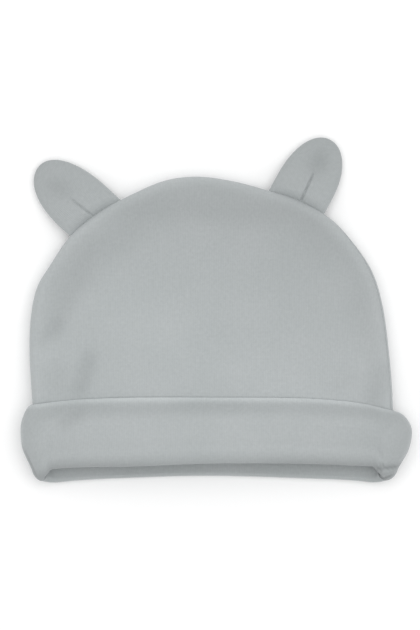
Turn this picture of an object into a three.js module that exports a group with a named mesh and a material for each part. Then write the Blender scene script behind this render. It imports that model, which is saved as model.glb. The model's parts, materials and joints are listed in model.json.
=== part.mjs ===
// A newborn's hat with two ears, lying on its back. Millimetres, +Z up, +Y from the mouth to the dome.
//
// The crown is a front and a back panel of two-ply cotton interlock, joined in one seam that runs up
// one side, over the dome and down the other side. The brim is turned up once into a soft cuff, and
// two padded ears are caught in the seam. The back rests on the surface, the front is puffed up over
// the hollow for the head, and the mouth is open towards -Y.

import * as THREE from "three";
import { mergeVertices } from "three/addons/utils/BufferGeometryUtils.js";

// ---- Cloth ----

const WALL = 2; // two plies of interlock
const GAP = 0.3; // clearance between neighbouring pieces

// ---- Crown ----

// Its outer edge from the left of the mouth, over the dome, to the right of the mouth.
// beyond: how far the back panel shows past the seam.
const OUTLINE = [
  { x: -79.5, y: -84, beyond: 0 },
  { x: -83.2, y: -66, beyond: 0 },
  { x: -84.6, y: -43, beyond: 0 },
  { x: -86.0, y: -20, beyond: 0 },
  { x: -85.4, y: -3, beyond: 0 },
  { x: -82.6, y: 10.5, beyond: 0 },
  { x: -76.8, y: 20.4, beyond: 0 },
  { x: -67.2, y: 34.2, beyond: 0 },
  { x: -54.1, y: 45.2, beyond: 0 },
  { x: -38.9, y: 53.3, beyond: 0 },
  { x: -24.2, y: 59.5, beyond: 0 },
  { x: -10.0, y: 61.5, beyond: 0 },
  { x: 6.0, y: 59.7, beyond: 0 },
  { x: 23.7, y: 55.1, beyond: 0 },
  { x: 37.5, y: 50.6, beyond: 0 },
  { x: 52.0, y: 42.4, beyond: 0 },
  { x: 62.6, y: 31.4, beyond: 0.6 },
  { x: 71.8, y: 17.4, beyond: 1.4 },
  { x: 76.3, y: 2.5, beyond: 1.4 },
  { x: 79.2, y: -18.3, beyond: 1.4 },
  { x: 81.0, y: -43, beyond: 1.4 },
  { x: 80.6, y: -66, beyond: 1.4 },
  { x: 77.0, y: -84, beyond: 1.4 },
];
const DOME_TOP = 11; // the row of OUTLINE at the top of the dome

const CENTRE_X = -3; // the line down the middle of the front
const CENTRE_Y = 8; // its upper end, where the puffed front is highest
const HEM_Y = -59.7; // lower edge of both panels, hidden inside the cuff

const CREST = { mouth: 20.5, centre: 30, mouthY: -64 }; // height of the front's middle
const SEAM_HEIGHT = { mouth: 10.5, dome: 8, mouthY: -64, domeY: 20 };
const FRONT_ROUND = 4.5; // radius at which the front turns over at the seam
const BACK_ROUND = 8; // width over which the back curls up to the seam

// The back lies on the surface above the cuff and rides over the cuff's outer leg below it.
const RIDE = { leg: 2.4, legFrom: -18, legTo: -40, roll: 2.2, rollFrom: -44, rollTo: -72 };

// ---- Cuff ----

// y of its upper edge, of the bottom fold in front and of the bottom fold at the back, across the hat.
const CUFF_LINES = [
  { x: -84, hem: -43.8, front: -74.4, back: -79.7 },
  { x: -66, hem: -41.6, front: -71.9, back: -78.5 },
  { x: -40, hem: -40.3, front: -71.4, back: -77.0 },
  { x: -4, hem: -39.7, front: -70.6, back: -76.0 },
  { x: 43, hem: -40.8, front: -70.2, back: -76.9 },
  { x: 66, hem: -43.0, front: -71.2, back: -78.6 },
  { x: 82, hem: -46.0, front: -73.6, back: -79.7 },
];
const PUFF = { front: 2.2, left: 3.0, right: 5.8 }; // fullness of the outer leg, high up on the cuff
const PUFF_SKEW = 0.6; // under 1 moves the fullest height towards the upper edge
const ROLL_SPREAD = 2.4; // how much further apart the two legs are at the bottom fold
const ROLL_DEPTH = 3.6; // length over which the fold turns round
const JOIN_Y = HEM_Y - GAP; // upper end of the inner leg, under the panels' lower edges

// ---- Ears ----

// x, y: middle of the base on the seam; turn: degrees from +X to the tip.
const EARS = [
  { name: "ear_left", x: -56.2, y: 42.8, turn: 137.1, length: 35, width: 28 },
  { name: "ear_right", x: 37, y: 50, turn: 61.5, length: 32.6, width: 27.5 },
];
const EAR_SHOULDER = 8; // from here to the tip the outline closes in
const EAR_CORNER = 2.25; // over 2 makes the tip squarer than an ellipse
const EAR_PAD = { base: 3.0, middle: 4.0, fullAt: 0.5, tipRounding: 4 }; // half its thickness
const EAR_DROOP = { base: 7.8, tip: 3.8, downAt: 0.85 }; // height of its middle above the surface
const PLEAT = { depth: 2.4, length: 15, halfWidth: 3.5 };

// ---- Mesh steps ----

const ROUND_SHARE = 0.4; // share of a ray's points that lie on the rounded edge
const BLEND_SHARE = 0.6; // share of a ray over which the cuff's sides pass into its middle
const RAY_STEPS = 10;
const SIDE_ROWS = 11;
const DOME_RAYS = 26;
const LEG_STEPS = 6;
const FOLD_STEPS = 6;
const EAR_AROUND = 20;
const SEAM_SAMPLES = 4000;
const EAR_STATIONS = [0, 0.1, 0.22, 0.36, 0.5, 0.64, 0.76, 0.86, 0.93, 0.98, 1];
const SAME_POINT = 1e-3;
const HALVINGS = 40; // of the outline, to find one height on it

const { lerp: mix, smoothstep, degToRad } = THREE.MathUtils;
const UP = new THREE.Vector3(0, 0, 1);

/** count + 1 evenly spaced values from a to b. */
const steps = (a, b, count) => Array.from({ length: count + 1 }, (_, i) => mix(a, b, i / count));

const RAY_POINTS = steps(0, 1, RAY_STEPS);

// ---- Closed meshes from grids of points ----

/** The two triangles of every cell of a grid of points. */
function skin(rows) {
  const triangles = [];
  for (let i = 0; i + 1 < rows.length; i++) {
    for (let j = 0; j + 1 < rows[i].length; j++) {
      const [a, b, c, d] = [rows[i][j], rows[i + 1][j], rows[i + 1][j + 1], rows[i][j + 1]];
      triangles.push([a, b, c], [a, c, d]);
    }
  }
  return triangles;
}

/** A triangle that faces the other way. */
const turned = ([a, b, c]) => [a, c, b];

/** Volume inside a closed surface, negative where its faces point inwards. */
function signedVolume(triangles) {
  const spans = triangles.map(([a, b, c]) => a.dot(new THREE.Vector3().crossVectors(b, c)));
  return spans.reduce((sum, span) => sum + span, 0) / 6;
}

/** A geometry from the triangles of one closed surface, with its faces pointing out. */
function closedGeometry(triangles) {
  const outward = signedVolume(triangles) > 0 ? triangles : triangles.map(turned);
  const loose = new THREE.BufferGeometry().setFromPoints(outward.flat());
  const geometry = mergeVertices(loose, SAME_POINT);
  const index = Array.from(geometry.index.array);
  const kept = [];
  for (let i = 0; i < index.length; i += 3) {
    const [a, b, c] = index.slice(i, i + 3);
    if (a !== b && b !== c && c !== a) kept.push(a, b, c);
  }
  geometry.setIndex(kept);
  geometry.computeVertexNormals();
  return geometry;
}

// ---- Crown surfaces ----

const outlineCurve = new THREE.CatmullRomCurve3(
  OUTLINE.map(({ x, y, beyond }) => new THREE.Vector3(x, y, beyond)),
  false,
  "centripetal",
);

/** Where along the outline the left or the right side of the hat is at height y of the plan. */
function outlineAt(side, y) {
  let low = side === "left" ? 0 : 1;
  let high = DOME_TOP / (OUTLINE.length - 1);
  for (let i = 0; i < HALVINGS; i++) {
    const middle = (low + high) / 2;
    if (outlineCurve.getPoint(middle).y < y) low = middle;
    else high = middle;
  }
  return low;
}

/**
 * A ray runs in from the outline: straight across to the centre line beside it, and from the dome to
 * the centre line's upper end. split is half the gap between the panels at the seam.
 */
function makeRay(along, split) {
  const { x, y, z: beyond } = outlineCurve.getPoint(along);
  const edge = new THREE.Vector3(x, y, 0);
  const core = new THREE.Vector3(CENTRE_X, Math.min(y, CENTRE_Y), 0);
  const { mouth, dome, mouthY, domeY } = SEAM_HEIGHT;
  return {
    edge,
    outward: edge.clone().sub(core).normalize(),
    length: edge.distanceTo(core),
    beyond,
    split,
    seam: mix(mouth, dome, smoothstep(y, mouthY, domeY)),
    crest: mix(CREST.mouth, CREST.centre, smoothstep(y, CREST.mouthY, CENTRE_Y)),
    ride: rideHeight(y),
  };
}

/** Height of the back panel's underside. */
function rideHeight(y) {
  const overLeg = RIDE.leg * (1 - smoothstep(y, RIDE.legTo, RIDE.legFrom));
  const overRoll = RIDE.roll * (1 - smoothstep(y, RIDE.rollTo, RIDE.rollFrom));
  return overLeg + overRoll;
}

/** How far a point of a ray has turned over the rounded edge, and how far it has run in after it. */
function alongRay(share) {
  return {
    turn: (Math.min(share / ROUND_SHARE, 1) * Math.PI) / 2,
    run: Math.max(share - ROUND_SHARE, 0) / (1 - ROUND_SHARE),
  };
}

const onRay = (ray, outward, z) => ray.edge.clone().addScaledVector(ray.outward, outward).setZ(z);

/** A point of the front panel's outer face, or of that face moved outwards by grow. */
function frontPoint(ray, share, grow) {
  const { turn, run } = alongRay(share);
  const round = FRONT_ROUND + grow;
  const reach = ray.length - ray.beyond + grow;
  const inward = round * (1 - Math.cos(turn)) + (reach - round) * run;
  const base = ray.seam + ray.split;
  const near = inward / reach;
  const dome = (ray.crest - base - FRONT_ROUND) * near * (2 - near);
  return onRay(ray, grow - ray.beyond - inward, base + round * Math.sin(turn) + dome);
}

/** A point of the back panel's outer face, or of that face moved outwards by grow. */
function backPoint(ray, share, grow) {
  const { turn, run } = alongRay(share);
  const round = BACK_ROUND + grow;
  const reach = ray.length + grow;
  const inward = round * (1 - Math.cos(turn)) + (reach - round) * run;
  const base = ray.seam - ray.split;
  return onRay(ray, grow - inward, base - (base - ray.ride + grow) * Math.sin(turn));
}

const panelRays = (() => {
  const rows = steps(HEM_Y, CENTRE_Y, SIDE_ROWS);
  const left = rows.map((y) => outlineAt("left", y));
  const right = rows.map((y) => outlineAt("right", y)).reverse();
  const dome = steps(left.at(-1), right[0], DOME_RAYS).slice(1, -1);
  return [...left, ...dome, ...right].map((along) => makeRay(along, GAP / 2));
})();

/** One panel: a wall between its outer and inner faces, closed along the seam and the lower edge. */
function crownPanel(pointOn) {
  const face = (grow) => panelRays.map((ray) => RAY_POINTS.map((share) => pointOn(ray, share, grow)));
  const outer = face(0);
  const inner = face(-WALL);
  const seam = [inner.map((row) => row[0]), outer.map((row) => row[0])];
  const hems = [
    [outer[0], inner[0]],
    [inner.at(-1), outer.at(-1)],
  ];
  const turnedParts = [inner, seam, ...hems].flatMap(skin).map(turned);
  return closedGeometry([...skin(outer), ...turnedParts]);
}

// ---- Cuff ----

const cuffLines = new THREE.CubicInterpolant(
  CUFF_LINES.map(({ x }) => x),
  CUFF_LINES.flatMap(({ hem, front, back }) => [hem, front, back]),
  3,
);

/** One place round the cuff: a side of the hat, the front or the back, and how far in from the side. */
function cuffColumn(side, face, share) {
  const pointOn = face === "front" ? frontPoint : backPoint;
  const at = (y, grow, floor) => {
    const point = pointOn(makeRay(outlineAt(side, y), 0), share, grow);
    return point.setZ(Math.max(point.z, floor));
  };
  const { turn } = alongRay(share);
  const [hem, front, back] = cuffLines.evaluate(at(JOIN_Y, 0, 0).x);
  const fold = mix((front + back) / 2, face === "front" ? front : back, Math.sin(turn));
  return { at, hem, fold, face, side, inward: smoothstep(share, 0, BLEND_SHARE) };
}

/** How far the outer leg stands off the crown; down is 0 at its upper edge and 1 at the fold. */
function standOff(column, down, y) {
  const hump = Math.sin(Math.PI * down ** PUFF_SKEW);
  const spread = WALL + GAP + ROLL_SPREAD * smoothstep(down, 0, 1);
  const atSide = spread + PUFF[column.side] * hump;
  const atMiddle = column.face === "front" ? spread + PUFF.front * hump : rideHeight(y);
  return mix(atSide, atMiddle, column.inward);
}

/** The cuff's section at one place: outer face down the leg and round the fold, then back inside. */
function cuffSection(column) {
  const { at, hem, fold } = column;
  const turnY = fold + ROLL_DEPTH;
  const leg = steps(hem, turnY, LEG_STEPS).map((y) => {
    return { y, off: standOff(column, (hem - y) / (hem - turnY), y) };
  });
  const spread = leg.at(-1).off;
  const middle = (spread - WALL) / 2;
  const arc = (radius, depth, floor) =>
    steps(0, Math.PI, FOLD_STEPS).map((angle) =>
      at(turnY - depth * Math.sin(angle), middle + radius * Math.cos(angle), floor),
    );
  const outerLeg = leg.slice(0, -1).map(({ y, off }) => at(y, off, 0));
  const innerLeg = leg.slice(0, -1).map(({ y, off }) => at(y, off - WALL, WALL));
  const upperEdge = at(hem + WALL / 4, leg[0].off - WALL / 2, WALL / 2);
  return [
    upperEdge,
    ...outerLeg,
    ...arc((spread + WALL) / 2, ROLL_DEPTH, 0),
    at(JOIN_Y, -WALL, WALL),
    at(JOIN_Y, 0, WALL),
    ...arc((spread - WALL) / 2, ROLL_DEPTH - WALL, WALL).reverse(),
    ...innerLeg.reverse(),
    upperEdge,
  ];
}

/** The turned-up brim: its section carried round the mouth, over the front and back under the hat. */
function cuff() {
  const inwards = RAY_POINTS.slice(0, -1);
  const outwards = RAY_POINTS.slice(1).reverse();
  const columns = [
    ...inwards.map((share) => cuffColumn("left", "front", share)),
    ...outwards.map((share) => cuffColumn("right", "front", share)),
    ...inwards.map((share) => cuffColumn("right", "back", share)),
    ...outwards.map((share) => cuffColumn("left", "back", share)),
  ];
  const sections = columns.map(cuffSection);
  return closedGeometry(skin([...sections, sections[0]]));
}

// ---- Ears ----

/** The crown's outline as an ear sees it: x ahead of the middle of its base, y to its left. */
function seamFromEar(ear) {
  const fromEar = ({ x, y }) =>
    new THREE.Vector3(x - ear.x, y - ear.y, 0).applyAxisAngle(UP, -degToRad(ear.turn));
  return outlineCurve.getPoints(SEAM_SAMPLES).map(fromEar).filter(({ x }) => x > -ear.length);
}

/** A ring of points round the ear at one station of its length; +X runs from the base to the tip. */
function earRing(ear, seam, station) {
  const nearestTo = (across) => (a, b) => (Math.abs(a.y - across) < Math.abs(b.y - across) ? a : b);
  const along = station * ear.length;
  const closing = Math.max(along - EAR_SHOULDER, 0) / (ear.length - EAR_SHOULDER);
  const halfWidth = (ear.width / 2) * Math.sqrt(1 - closing ** EAR_CORNER);
  const filled = mix(EAR_PAD.base, EAR_PAD.middle, smoothstep(station, 0, EAR_PAD.fullAt));
  const pad = filled * Math.sqrt(1 - station ** EAR_PAD.tipRounding);
  const height = mix(EAR_DROOP.base, EAR_DROOP.tip, smoothstep(station, 0, EAR_DROOP.downAt));
  const groove = PLEAT.depth * (1 - smoothstep(along, 0, PLEAT.length));
  return steps(0, 2 * Math.PI, EAR_AROUND).map((angle) => {
    const across = halfWidth * Math.cos(angle);
    const base = seam.reduce(nearestTo(across)).x + GAP;
    const x = mix(base, ear.length, station);
    const pleat = Math.sin(angle) > 0 ? groove * Math.exp(-((across / PLEAT.halfWidth) ** 2)) : 0;
    return new THREE.Vector3(x, across, Math.max(height + pad * Math.sin(angle) - pleat, 0));
  });
}

/** A padded ear, lofted from its base along the seam to its tip. */
function earGeometry(ear) {
  const seam = seamFromEar(ear);
  const rings = EAR_STATIONS.map((station) => earRing(ear, seam, station));
  const half = EAR_AROUND / 2;
  const base = [rings[0].slice(0, half + 1), rings[0].slice(half).reverse()];
  return closedGeometry([...skin(rings), ...skin(base).map(turned)]);
}

// ---- The hat ----

const interlock = (color) => new THREE.MeshStandardMaterial({ color, roughness: 0.95, metalness: 0 });

function piece(name, geometry, color) {
  const mesh = new THREE.Mesh(geometry, interlock(color));
  mesh.name = name;
  return mesh;
}

const hat = new THREE.Group();
hat.add(piece("crown_front", crownPanel(frontPoint), "#b3b9b9"));
hat.add(piece("crown_back", crownPanel(backPoint), "#a9b0b0"));
hat.add(piece("cuff", cuff(), "#b1b7b7"));
for (const ear of EARS) {
  const mesh = piece(ear.name, earGeometry(ear), "#abb1b1");
  mesh.position.set(ear.x, ear.y, 0);
  mesh.rotation.z = degToRad(ear.turn);
  hat.add(mesh);
}

export default hat;
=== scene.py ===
# %% [markdown]
# # A newborn's hat with two ears
#
# The hat is cotton interlock: a fine, soft, double-faced knit. A front and a back panel are sewn
# together in one seam over the dome, the brim is turned up into a rolled cuff, and two padded ears
# are caught in the seam. It lies on its back with a little air inside.
#
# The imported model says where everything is. Each piece below is a finer form of one of its nodes,
# worked out in millimetres from the same few sizes and turned into metres when its mesh is made.

# %% Load the frame
import json
import math

import bmesh
import bpy
import numpy as np
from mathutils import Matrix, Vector, noise

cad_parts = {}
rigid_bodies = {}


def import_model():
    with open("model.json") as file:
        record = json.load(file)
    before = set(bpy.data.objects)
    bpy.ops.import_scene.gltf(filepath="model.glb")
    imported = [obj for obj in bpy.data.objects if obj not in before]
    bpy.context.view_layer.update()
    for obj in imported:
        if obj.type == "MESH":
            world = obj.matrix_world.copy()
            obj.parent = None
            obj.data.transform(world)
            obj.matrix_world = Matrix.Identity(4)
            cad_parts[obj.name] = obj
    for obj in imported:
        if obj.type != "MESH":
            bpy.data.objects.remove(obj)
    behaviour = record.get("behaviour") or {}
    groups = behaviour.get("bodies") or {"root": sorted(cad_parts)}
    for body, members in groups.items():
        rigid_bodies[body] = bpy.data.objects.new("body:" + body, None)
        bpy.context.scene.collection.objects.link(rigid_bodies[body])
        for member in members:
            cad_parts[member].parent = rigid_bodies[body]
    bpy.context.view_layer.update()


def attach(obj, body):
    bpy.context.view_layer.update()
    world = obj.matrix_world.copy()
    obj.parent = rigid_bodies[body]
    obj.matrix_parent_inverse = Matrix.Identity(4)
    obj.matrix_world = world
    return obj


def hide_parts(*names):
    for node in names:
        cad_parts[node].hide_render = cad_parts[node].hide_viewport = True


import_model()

MM = 0.001

# %% [markdown]
# ## Camera
#
# The camera looks straight down through a long lens, so the outline is seen almost without
# perspective. The sensor's width covers the long side of the upright picture, and the lens is
# worked out from what that side takes in at the height of the seam.

# %% Camera
VIEW_HEIGHT = 289.8 * MM  # what the long side of the picture takes in, at the height of the seam
VIEW_CENTRE = (-3.0 * MM, -2.2 * MM)
SEAM_LEVEL = 9 * MM
CAMERA_RISE = 1.6
SENSOR_WIDTH = 36  # in mm, as on a full-frame camera

camera_data = bpy.data.cameras.new("camera")
camera_data.sensor_width = SENSOR_WIDTH
camera_data.lens = camera_data.sensor_width * (CAMERA_RISE - SEAM_LEVEL) / VIEW_HEIGHT
camera = bpy.data.objects.new("camera", camera_data)
camera.location = (*VIEW_CENTRE, CAMERA_RISE)
bpy.context.scene.collection.objects.link(camera)
bpy.context.scene.camera = camera
print("lens, mm:", round(camera_data.lens, 1))

# %% [markdown]
# ## Floor
#
# The hat lies on a sheet of pale paper that runs past the edges of the picture. One large square is
# enough for that.

# %% Floor
FLOOR_HALF = 6.0
FLOOR_COLOUR = (0.94, 0.94, 0.94, 1)
FLOOR_ROUGHNESS = 0.9


def plain_material(name, colour, roughness):
    """A matt material with one colour."""
    material = bpy.data.materials.new(name)
    material.use_nodes = True
    shader = material.node_tree.nodes["Principled BSDF"]
    shader.inputs["Base Color"].default_value = colour
    shader.inputs["Roughness"].default_value = roughness
    shader.inputs["Specular IOR Level"].default_value = 0.1
    return material


def make_floor():
    """A flat square at the height the hat lies on."""
    mesh = bpy.data.meshes.new("floor")
    corners = [(-1, -1), (1, -1), (1, 1), (-1, 1)]
    mesh.from_pydata([(x * FLOOR_HALF, y * FLOOR_HALF, 0) for x, y in corners], [], [(0, 1, 2, 3)])
    mesh.materials.append(plain_material("floor_paper", FLOOR_COLOUR, FLOOR_ROUGHNESS))
    floor = bpy.data.objects.new("floor", mesh)
    bpy.context.scene.collection.objects.link(floor)


make_floor()
print("floor, m:", 2 * FLOOR_HALF, "square")

# %% [markdown]
# ## Light
#
# One large softbox hangs above the camera and a bright surround fills the shadows. A soft cloth
# shows its form by the way its slopes turn from the light, and the hard shadows of a small lamp
# would hide that. The standard view transform keeps the pale greys as they are.

# %% Softbox and surround
SOFTBOX = dict(place=(0.08, 0.16, 1.35), size=1.4, power=9.5)
SURROUND_STRENGTH = 0.79


def softbox(name, place, size, power):
    """A square area light that faces the hat."""
    light = bpy.data.lights.new(name, "AREA")
    light.shape = "SQUARE"
    light.size = size
    light.energy = power
    lamp = bpy.data.objects.new(name, light)
    lamp.location = place
    lamp.rotation_euler = Vector(place).to_track_quat("Z", "Y").to_euler()
    bpy.context.scene.collection.objects.link(lamp)


def make_surround(strength):
    """White light from all round."""
    world = bpy.data.worlds.new("surround")
    world.use_nodes = True
    background = world.node_tree.nodes["Background"]
    background.inputs["Color"].default_value = (1, 1, 1, 1)
    background.inputs["Strength"].default_value = strength
    bpy.context.scene.world = world


softbox("softbox_above", **SOFTBOX)
make_surround(SURROUND_STRENGTH)
bpy.context.scene.view_settings.view_transform = "Standard"
print("softbox, W:", SOFTBOX["power"], "surround:", SURROUND_STRENGTH)

# %% [markdown]
# ## The crown's outline
#
# The seam's path is the hat's outline. It could be drawn by hand as a curve object, but a short
# table with a smooth curve through it keeps the sizes in view, and every piece can ask it
# where the edge is. On the right the back panel shows a little past the seam.

# %% Outline table
# In mm; beyond is how far the back panel shows past the seam.
OUTLINE = [
    dict(x=-79.5, y=-84.0, beyond=0.0),
    dict(x=-83.2, y=-66.0, beyond=0.0),
    dict(x=-84.6, y=-43.0, beyond=0.0),
    dict(x=-86.0, y=-20.0, beyond=0.0),
    dict(x=-85.4, y=-3.0, beyond=0.0),
    dict(x=-82.6, y=10.5, beyond=0.0),
    dict(x=-76.8, y=20.4, beyond=0.0),
    dict(x=-67.2, y=34.2, beyond=0.0),
    dict(x=-54.1, y=45.2, beyond=0.0),
    dict(x=-38.9, y=53.3, beyond=0.0),
    dict(x=-24.2, y=59.5, beyond=0.0),
    dict(x=-10.0, y=61.5, beyond=0.0),
    dict(x=6.0, y=59.7, beyond=0.0),
    dict(x=23.7, y=55.1, beyond=0.0),
    dict(x=37.5, y=50.6, beyond=0.0),
    dict(x=52.0, y=42.4, beyond=0.0),
    dict(x=62.6, y=31.4, beyond=0.5),
    dict(x=71.8, y=17.4, beyond=0.9),
    dict(x=76.3, y=2.5, beyond=0.9),
    dict(x=79.2, y=-18.3, beyond=0.9),
    dict(x=81.0, y=-43.0, beyond=0.9),
    dict(x=80.6, y=-66.0, beyond=0.9),
    dict(x=77.0, y=-84.0, beyond=0.9),
]
print("rows in the outline:", len(OUTLINE))

# %% [markdown]
# ## A smooth curve through a table
#
# A plain polyline would show its corners on such an even edge. A centripetal Catmull-Rom spline
# goes through every row of the table and doesn't overshoot between rows that are unevenly spaced.
# Two small helpers go with it: a soft step between two limits, and a mix of two values.

# %% Curve helpers
SPAN_STEPS = 60


def spline(rows, per_span):
    """Points of a centripetal Catmull-Rom curve through rows of numbers."""
    rows = np.asarray(rows, float)
    rows = np.vstack([2 * rows[0] - rows[1], rows, 2 * rows[-1] - rows[-2]])
    gaps = np.linalg.norm(np.diff(rows, axis=0), axis=1) ** 0.5
    t = np.linspace(0, 1, per_span, endpoint=False)[:, None]
    parts = []
    for i in range(1, len(rows) - 2):
        p0, p1, p2, p3 = rows[i - 1 : i + 3]
        d0, d1, d2 = gaps[i - 1 : i + 2]
        m1 = ((p1 - p0) / d0 - (p2 - p0) / (d0 + d1) + (p2 - p1) / d1) * d1
        m2 = ((p2 - p1) / d1 - (p3 - p1) / (d1 + d2) + (p3 - p2) / d2) * d1
        bend, twist = 3 * (p2 - p1) - 2 * m1 - m2, 2 * (p1 - p2) + m1 + m2
        parts.append(p1 + m1 * t + bend * t**2 + twist * t**3)
    return np.vstack([*parts, rows[-2:-1]])


def smooth(value, low, high):
    """A soft step from 0 at low to 1 at high."""
    t = np.clip((value - low) / (high - low), 0, 1)
    return t * t * (3 - 2 * t)


def mix(a, b, share):
    """a where share is 0, b where it is 1."""
    return a + (b - a) * share


# %% [markdown]
# ## The outline as a curve
#
# The table becomes one curve from the left of the mouth over the dome to its right. It is cut at
# its highest point into a left and a right side, because a side has one x for every y, which the
# cuff and the panels can look up.

# %% Outline
outline = spline([[row["x"], row["y"], row["beyond"]] for row in OUTLINE], SPAN_STEPS)
outline[:, 2] = np.maximum(outline[:, 2], 0)
dome_top = int(np.argmax(outline[:, 1]))
side_lines = {"left": outline[: dome_top + 1], "right": outline[dome_top:][::-1]}


def edge_at(side, y):
    """x of the outline and how far the back shows past the seam there, on one side at height y."""
    line = side_lines[side]
    return np.interp(y, line[:, 1], line[:, 0]), np.interp(y, line[:, 1], line[:, 2])


print("outline, mm:", outline[:, :2].min(0).round(1), outline[:, :2].max(0).round(1))

# %% [markdown]
# ## How the two panels puff up
#
# From every place on the outline a ray runs in: straight across to the centre line, or from the dome
# to its upper end. Along a ray the front turns over a small round edge and then rises slowly to the
# crest, and the back turns under and lies flat. Where the cuff runs under the hat, the back rides
# up over it. Blowing up a flat bag by simulation would give such a form too, but with rays each
# height is a number that can be read and changed.

# %% Heights of the crown
# All in mm. The crest changes from mouth_y to CENTRE_Y, and the seam from mouth_y to dome_y.
WALL = 2.0
CENTRE_X, CENTRE_Y = -3.0, 8.0
CREST = dict(mouth=20.5, centre=30.0, mouth_y=-64.0)
SEAM_HEIGHT = dict(mouth=10.5, dome=8.0, mouth_y=-64.0, dome_y=20.0)
RIDE = dict(leg=2.4, leg_from=-18.0, leg_to=-40.0, roll=2.2, roll_from=-44.0, roll_to=-72.0)


def ride_at(y):
    """How far the back is lifted at y by the cuff's legs and its roll, which lie under it."""
    over_leg = RIDE["leg"] * (1 - smooth(y, RIDE["leg_to"], RIDE["leg_from"]))
    return over_leg + RIDE["roll"] * (1 - smooth(y, RIDE["roll_to"], RIDE["roll_from"]))


class Rays:
    """Rays in from places on the outline, one for each entry of the arrays given."""

    def __init__(self, x, y, beyond):
        self.x, self.y, self.beyond = np.broadcast_arrays(x, y, beyond)
        across, up = self.x - CENTRE_X, self.y - np.minimum(self.y, CENTRE_Y)
        self.length = np.hypot(across, up)
        self.out_x, self.out_y = across / self.length, up / self.length
        in_sleeve = smooth(self.y, SEAM_HEIGHT["mouth_y"], SEAM_HEIGHT["dome_y"])
        self.seam = mix(SEAM_HEIGHT["mouth"], SEAM_HEIGHT["dome"], in_sleeve)
        self.crest = mix(CREST["mouth"], CREST["centre"], smooth(self.y, CREST["mouth_y"], CENTRE_Y))
        self.ride = ride_at(self.y)

    def at(self, outward, z):
        """Points at a distance outward of each ray's start, at height z."""
        x, y = self.x + self.out_x * outward, self.y + self.out_y * outward
        return np.stack(np.broadcast_arrays(x, y, z), -1)


levels = np.array([-60.0, -30.0, 0.0])
left_rays = Rays(edge_at("left", levels)[0], levels, 0.0)
print("at y, mm:", levels, "seam:", left_rays.seam.round(1), "crest:", left_rays.crest.round(1))

# %% [markdown]
# ## Front and back surfaces
#
# The front is rounder than a lens and flatter than a ball: a parabola over a small round edge. The
# seam allowance inside pads the edge, which leaves a soft ridge beside the seam and a shallow
# valley behind it. The back is flat, because it lies on the surface. Both can be grown by a
# distance, which gives the inner face of the wall and the faces of the cuff from the same function.

# %% Crown surfaces
FRONT_ROUND, BACK_ROUND = 3.4, 8.0
RIDGE = dict(rise=0.15, at=2.0, width=1.2, starts_over=1.5)
VALLEY = dict(rise=-0.1, at=6.0, width=3.5)


def front_surface(rays, turn, run, grow):
    """Points of the front's outer face, turned over the edge by an angle and then run in after it."""
    radius, reach = FRONT_ROUND + grow, rays.length + grow
    inward = radius * (1 - np.cos(turn)) + (reach - radius) * run
    near = inward / reach
    dome = (rays.crest - rays.seam - FRONT_ROUND) * near * (2 - near)
    ridge = RIDGE["rise"] * np.exp(-(((inward - RIDGE["at"]) / RIDGE["width"]) ** 2))
    valley = VALLEY["rise"] * np.exp(-(((inward - VALLEY["at"]) / VALLEY["width"]) ** 2))
    padding = (ridge + valley) * smooth(inward, 0, RIDGE["starts_over"])
    return rays.at(grow - inward, rays.seam + radius * np.sin(turn) + dome + padding)


def back_surface(rays, turn, run, grow):
    """Points of the back's outer face; turn is above 0 where the back shows past the seam."""
    above = turn > 0
    radius = np.where(above, FRONT_ROUND, BACK_ROUND) + grow
    drop = np.where(above, FRONT_ROUND, rays.seam - rays.ride) + grow
    inward = radius * (1 - np.cos(turn)) + (rays.length + grow - radius) * run
    return rays.at(grow - inward, rays.seam + drop * np.sin(turn))


top_of_front = front_surface(left_rays, math.pi / 2, 1.0, 0.0)[:, 2]
print("top of the front at the centre line, mm:", top_of_front.round(2))

# %% [markdown]
# ## A mesh from a grid of points
#
# Every cloth piece is a grid of points that is carried along a path. The helper below makes it a
# closed mesh, merges the places where rows meet, and keeps a UV map of true distances over the
# cloth, so that the knit runs evenly over every curve.

# %% Mesh helpers
SAME_PLACE = 1e-6  # in metres; points closer than this are merged


def grid_faces(rows, columns, close_rows=False):
    """Index quads of a grid; close_rows joins the last row to the first."""
    last = rows if close_rows else rows - 1
    i, j = np.meshgrid(np.arange(last), np.arange(columns - 1), indexing="ij")
    k = (i + 1) % rows
    quads = np.stack([i * columns + j, k * columns + j, k * columns + j + 1, i * columns + j + 1], -1)
    return quads.reshape(-1, 4).tolist()


def cloth_object(name, points, faces, uv, ridge, hollow=None):
    """A closed, smooth-shaded object. points and uv in mm; ridge paints a highlight into the colour,
    hollow paints shade into it.
    """
    mesh = bpy.data.meshes.new(name)
    mesh.from_pydata((points * MM).tolist(), [], faces)
    hollow = np.zeros(len(points)) if hollow is None else hollow
    for key, values in dict(ridge=ridge, hollow=hollow).items():
        mesh.attributes.new(key, "FLOAT", "POINT").data.foreach_set("value", values.astype(np.float32))
    layer = mesh.uv_layers.new(name="cloth")
    corner = np.empty(len(mesh.loops), np.int32)
    mesh.loops.foreach_get("vertex_index", corner)
    layer.data.foreach_set("uv", (uv[corner] * MM).astype(np.float32).ravel())
    work = bmesh.new()
    work.from_mesh(mesh)
    bmesh.ops.remove_doubles(work, verts=work.verts, dist=SAME_PLACE)
    bmesh.ops.recalc_face_normals(work, faces=work.faces)
    if work.calc_volume(signed=True) < 0:
        bmesh.ops.reverse_faces(work, faces=work.faces)
    work.to_mesh(mesh)
    open_edges = sum(len(edge.link_faces) != 2 for edge in work.edges)
    work.free()
    mesh.shade_smooth()
    piece = bpy.data.objects.new(name, mesh)
    bpy.context.scene.collection.objects.link(piece)
    print(name, "faces:", len(mesh.polygons), "open edges:", open_edges)
    return piece


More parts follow.
